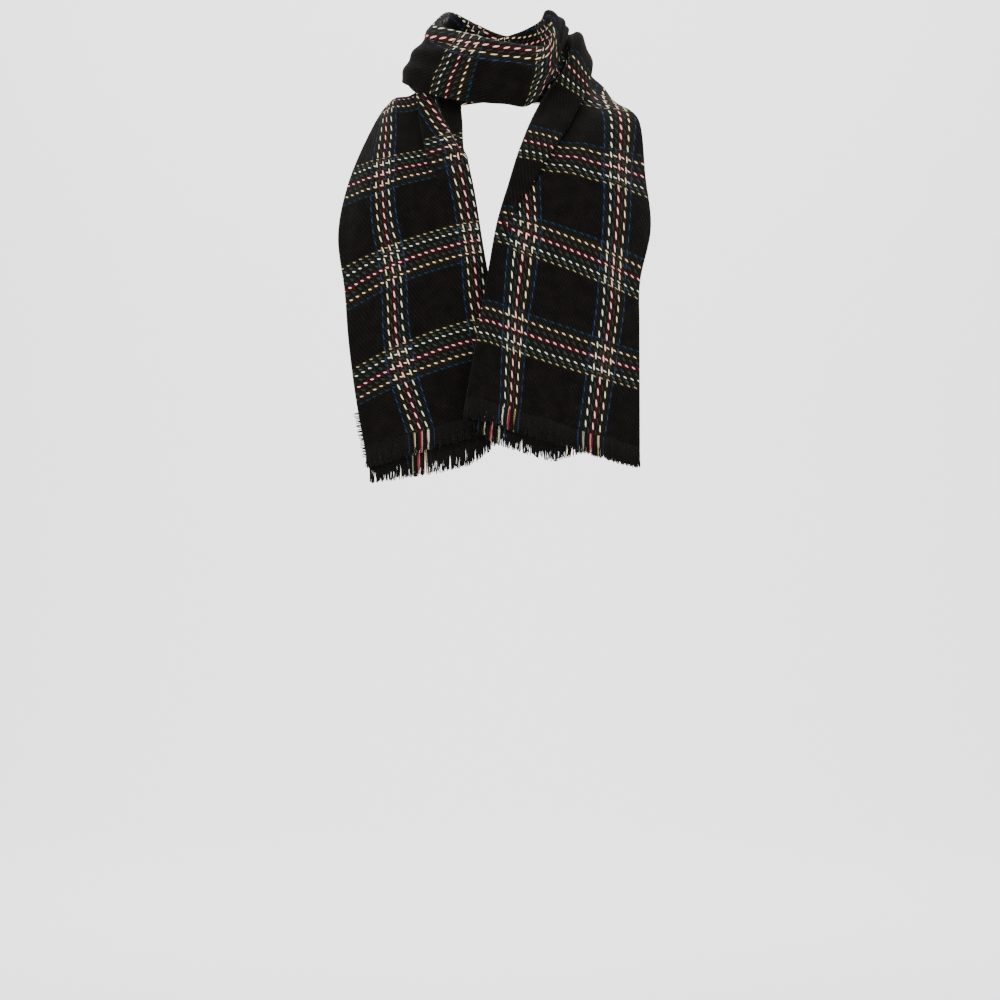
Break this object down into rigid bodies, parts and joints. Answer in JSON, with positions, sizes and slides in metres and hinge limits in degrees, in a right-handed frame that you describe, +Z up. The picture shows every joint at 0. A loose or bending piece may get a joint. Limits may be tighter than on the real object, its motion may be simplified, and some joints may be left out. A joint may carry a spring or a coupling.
{
  "type": "blanket scarf",
  "caption": "Checked twill blanket scarf, wound once round an empty neck, its ends crossing behind and hanging down the front, with fringed hems",
  "frame": {"origin": "on the axis of the wearer's neck, at the height of the top of the shoulders, inside the empty neck opening", "axes": "+Z up, -Y the wearer's front, +X to the right as seen from the front; the long ends hang down -Z"},
  "size_m": [0.3952, 0.2511, 0.613],
  "materials": {
    "cloth": "brushed wool-like twill, near black, with a fine check of cream, crimson, ochre, blue and green stitches",
    "fringe": "loose yarn, near black with a few coloured strands"
  },
  "bodies": {
    "root": {"left_end": "cloth", "inner_turn": "cloth", "neck_band": "cloth", "outer_turn": "cloth", "right_end": "cloth", "left_fringe": "fringe", "right_fringe": "fringe", "side_fringe": "fringe"}
  },
  "joints": []
}
